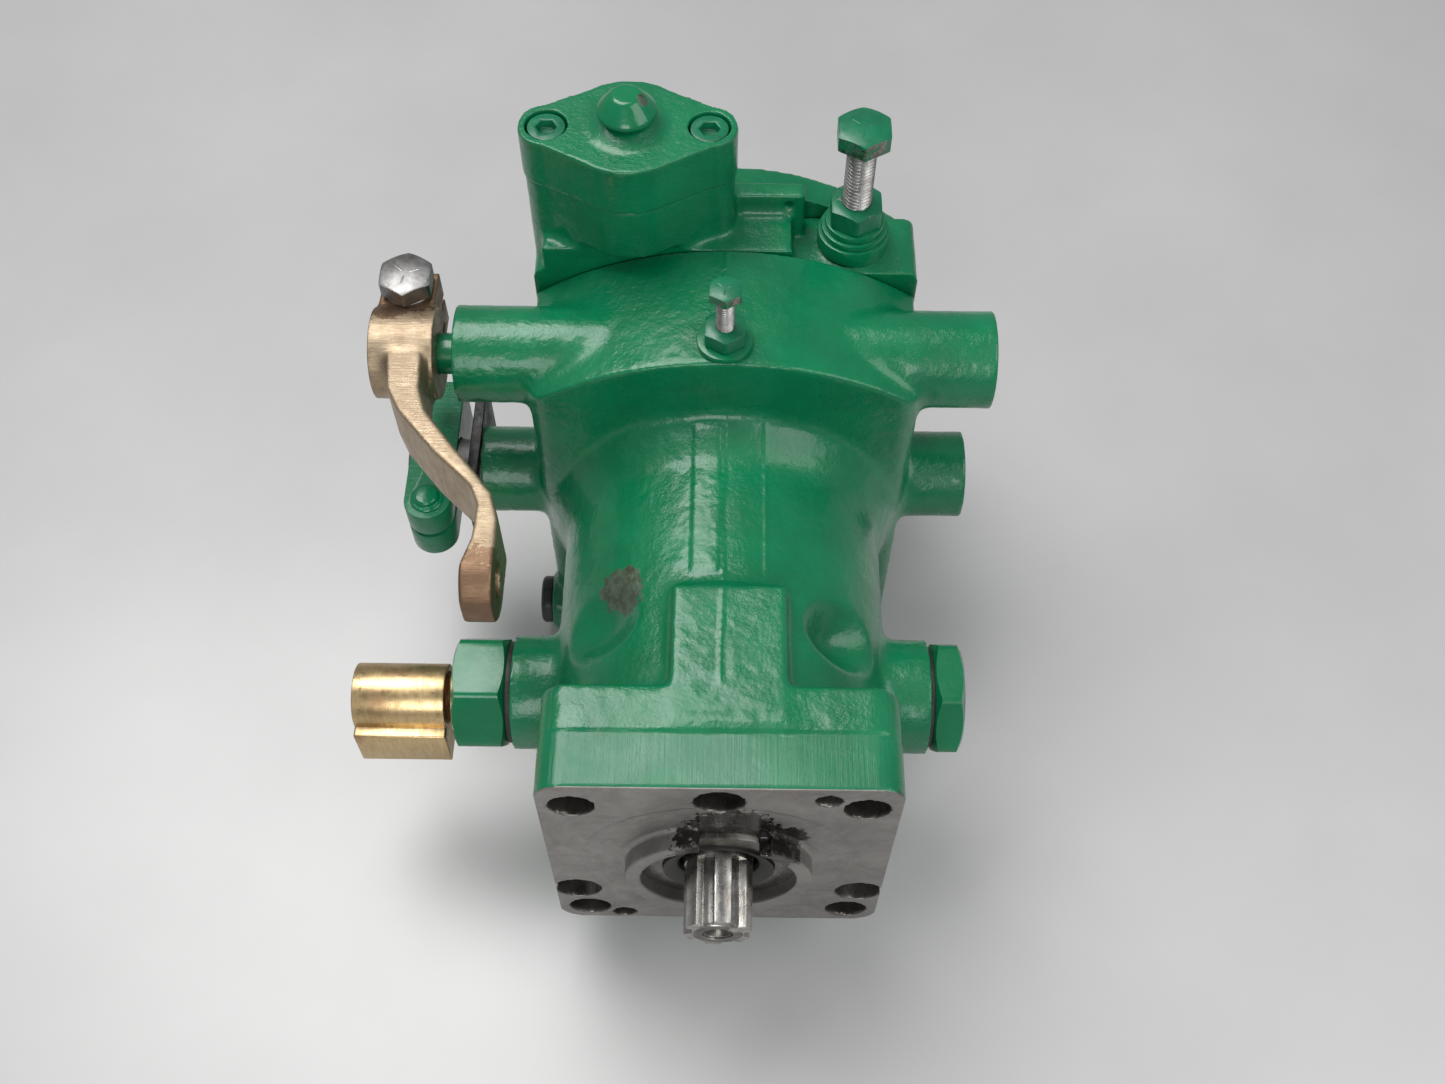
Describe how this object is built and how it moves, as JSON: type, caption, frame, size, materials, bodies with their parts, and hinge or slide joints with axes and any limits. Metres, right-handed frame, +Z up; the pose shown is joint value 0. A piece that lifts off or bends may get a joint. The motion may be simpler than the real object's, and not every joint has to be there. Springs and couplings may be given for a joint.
{
  "type": "axial piston pump",
  "caption": "Variable axial piston pump in a green cast housing with a square shaft flange, a bronze control lever, an upright servo tower, stop screws and side ports",
  "frame": {"origin": "middle of the mounting flange's face, on the drive shaft's axis", "axes": "+Y runs into the pump along the shaft, so the shaft end points to -Y; +Z is up, towards the servo tower; +X is on the right when the shaft end faces the viewer"},
  "size_m": [0.216, 0.252, 0.2278],
  "materials": {
    "green_cast": "glossy green paint over rough cast iron",
    "green_machined": "glossy green paint over turned faces",
    "bare_iron": "turned grey iron",
    "steel": "ground or zinc plated steel",
    "dark_steel": "dark rolled steel",
    "bronze": "cast bronze with filed edges",
    "brass": "turned brass",
    "rubber": "oil seal rubber",
    "paper": "gasket sheet",
    "black_plastic": "black moulded plug"
  },
  "bodies": {
    "housing_group": {"housing": "green_cast", "shaft_seal_carrier": "bare_iron", "shaft_seal": "rubber", "front_bearing_outer": "steel", "valve_plate": "bronze", "trunnion_bushes": "bronze", "trunnion_cap": "green_machined", "trunnion_keeper_plate": "dark_steel", "control_bushes": "bronze", "rear_block": "green_cast", "block_gaskets": "paper", "rear_cover": "green_cast", "cover_screws": "green_machined", "rear_bearing_outer": "steel", "servo_spring": "steel", "servo_cap": "green_cast", "servo_cap_screws": "green_machined", "servo_cap_plug": "green_machined", "stop_bolt_nut": "green_machined", "stop_washers": "green_machined", "small_stop_nut": "green_machined", "port_fitting": "green_machined", "hose_coupling": "brass", "port_plug": "green_machined", "port_seals": "rubber", "drain_plug": "black_plastic"},
    "rotor": {"drive_shaft": "steel", "front_bearing_inner": "steel", "rear_bearing_inner": "steel", "bearing_balls": "steel", "cylinder_barrel": "steel", "barrel_spring": "steel", "ball_guide": "steel"},
    "retainer": {"slipper_retainer": "steel"},
    "swash": {"swash_plate": "steel", "trunnion_pins": "steel", "trunnion_arm": "green_machined", "arm_clamp_pin": "green_machined"},
    "control": {"control_shaft": "steel", "control_lever": "bronze", "lever_pinch_bolt": "steel"},
    "servo": {"servo_piston": "steel"},
    "spool": {"pilot_spool": "steel"},
    "stop_adjuster": {"stop_bolt": "green_machined"},
    "small_stop_adjuster": {"small_stop_screw": "green_machined"},
    "piston_body_1": {"piston_1": "steel"},
    "slipper_body_1": {"slipper_1": "steel"},
    "piston_body_2": {"piston_2": "steel"},
    "slipper_body_2": {"slipper_2": "steel"},
    "piston_body_3": {"piston_3": "steel"},
    "slipper_body_3": {"slipper_3": "steel"},
    "piston_body_4": {"piston_4": "steel"},
    "slipper_body_4": {"slipper_4": "steel"},
    "piston_body_5": {"piston_5": "steel"},
    "slipper_body_5": {"slipper_5": "steel"},
    "piston_body_6": {"piston_6": "steel"},
    "slipper_body_6": {"slipper_6": "steel"},
    "piston_body_7": {"piston_7": "steel"},
    "slipper_body_7": {"slipper_7": "steel"}
  },
  "joints": [
    {"name": "shaft_spin", "type": "hinge", "parent": "housing_group", "child": "rotor", "pos_m": [0, 0, 0], "axis": [0, 1, 0], "range_deg": [-3600, 3600]},
    {"name": "control_lever_swing", "type": "hinge", "parent": "housing_group", "child": "control", "pos_m": [0, 0.155, 0.066], "axis": [1, 0, 0], "range_deg": [-15, 15]},
    {"name": "swash_tilt", "type": "hinge", "parent": "housing_group", "child": "swash", "pos_m": [0, 0.154, 0], "axis": [1, 0, 0], "range_deg": [-10, 10]},
    {"name": "retainer_tilt", "type": "hinge", "parent": "rotor", "child": "retainer", "pos_m": [0, 0.154, 0], "axis": [1, 0, 0], "range_deg": [-10, 10]},
    {"name": "servo_piston_slide", "type": "slide", "parent": "housing_group", "child": "servo", "axis": [0, 0, 1], "range_m": [-0.0076, 0.0076], "deforming": ["servo_spring"]},
    {"name": "pilot_spool_slide", "type": "slide", "parent": "housing_group", "child": "spool", "axis": [0, 1, 0], "range_m": [-0.0024, 0.0024]},
    {"name": "stop_bolt_travel", "type": "slide", "parent": "housing_group", "child": "stop_adjuster", "axis": [0, 0, 1], "range_m": [-0.003, 0.01]},
    {"name": "small_stop_travel", "type": "slide", "parent": "housing_group", "child": "small_stop_adjuster", "axis": [0, 0, 1], "range_m": [-0.001, 0.008]},
    {"name": "piston_1_stroke", "type": "slide", "parent": "rotor", "child": "piston_body_1", "axis": [0, 1, 0], "range_m": [-0.0054, 0.0054]},
    {"name": "slipper_1_tilt", "type": "hinge", "parent": "piston_body_1", "child": "slipper_body_1", "pos_m": [0, 0.154, 0.03], "axis": [1, 0, 0], "range_deg": [-10.05, 10.05]},
    {"name": "piston_2_stroke", "type": "slide", "parent": "rotor", "child": "piston_body_2", "axis": [0, 1, 0], "range_m": [-0.0054, 0.0054]},
    {"name": "slipper_2_tilt", "type": "hinge", "parent": "piston_body_2", "child": "slipper_body_2", "pos_m": [-0.02345, 0.154, 0.0187], "axis": [1, 0, 0], "range_deg": [-10.05, 10.05]},
    {"name": "piston_3_stroke", "type": "slide", "parent": "rotor", "child": "piston_body_3", "axis": [0, 1, 0], "range_m": [-0.0054, 0.0054]},
    {"name": "slipper_3_tilt", "type": "hinge", "parent": "piston_body_3", "child": "slipper_body_3", "pos_m": [-0.02925, 0.154, -0.00668], "axis": [1, 0, 0], "range_deg": [-10.05, 10.05]},
    {"name": "piston_4_stroke", "type": "slide", "parent": "rotor", "child": "piston_body_4", "axis": [0, 1, 0], "range_m": [-0.0054, 0.0054]},
    {"name": "slipper_4_tilt", "type": "hinge", "parent": "piston_body_4", "child": "slipper_body_4", "pos_m": [-0.01302, 0.154, -0.02703], "axis": [1, 0, 0], "range_deg": [-10.05, 10.05]},
    {"name": "piston_5_stroke", "type": "slide", "parent": "rotor", "child": "piston_body_5", "axis": [0, 1, 0], "range_m": [-0.0054, 0.0054]},
    {"name": "slipper_5_tilt", "type": "hinge", "parent": "piston_body_5", "child": "slipper_body_5", "pos_m": [0.01302, 0.154, -0.02703], "axis": [1, 0, 0], "range_deg": [-10.05, 10.05]},
    {"name": "piston_6_stroke", "type": "slide", "parent": "rotor", "child": "piston_body_6", "axis": [0, 1, 0], "range_m": [-0.0054, 0.0054]},
    {"name": "slipper_6_tilt", "type": "hinge", "parent": "piston_body_6", "child": "slipper_body_6", "pos_m": [0.02925, 0.154, -0.00668], "axis": [1, 0, 0], "range_deg": [-10.05, 10.05]},
    {"name": "piston_7_stroke", "type": "slide", "parent": "rotor", "child": "piston_body_7", "axis": [0, 1, 0], "range_m": [-0.0054, 0.0054]},
    {"name": "slipper_7_tilt", "type": "hinge", "parent": "piston_body_7", "child": "slipper_body_7", "pos_m": [0.02345, 0.154, 0.0187], "axis": [1, 0, 0], "range_deg": [-10.05, 10.05]}
  ],
  "couplings": [
    {"joint": "swash_tilt", "follows": "control_lever_swing", "ratio": 0.66667},
    {"joint": "retainer_tilt", "follows": "control_lever_swing", "ratio": 0.66667},
    {"joint": "servo_piston_slide", "follows": "control_lever_swing", "m_per_rad": 0.028667},
    {"joint": "pilot_spool_slide", "follows": "control_lever_swing", "m_per_rad": 0.009},
    {"joint": "piston_1_stroke", "follows": "control_lever_swing", "m_per_rad": -0.02},
    {"joint": "slipper_1_tilt", "follows": "control_lever_swing", "ratio": 0.66667},
    {"joint": "piston_2_stroke", "follows": "control_lever_swing", "m_per_rad": -0.01247},
    {"joint": "slipper_2_tilt", "follows": "control_lever_swing", "ratio": 0.66667},
    {"joint": "piston_3_stroke", "follows": "control_lever_swing", "m_per_rad": 0.0044504},
    {"joint": "slipper_3_tilt", "follows": "control_lever_swing", "ratio": 0.66667},
    {"joint": "piston_4_stroke", "follows": "control_lever_swing", "m_per_rad": 0.018019},
    {"joint": "slipper_4_tilt", "follows": "control_lever_swing", "ratio": 0.66667},
    {"joint": "piston_5_stroke", "follows": "control_lever_swing", "m_per_rad": 0.018019},
    {"joint": "slipper_5_tilt", "follows": "control_lever_swing", "ratio": 0.66667},
    {"joint": "piston_6_stroke", "follows": "control_lever_swing", "m_per_rad": 0.0044504},
    {"joint": "slipper_6_tilt", "follows": "control_lever_swing", "ratio": 0.66667},
    {"joint": "piston_7_stroke", "follows": "control_lever_swing", "m_per_rad": -0.01247},
    {"joint": "slipper_7_tilt", "follows": "control_lever_swing", "ratio": 0.66667}
  ]
}
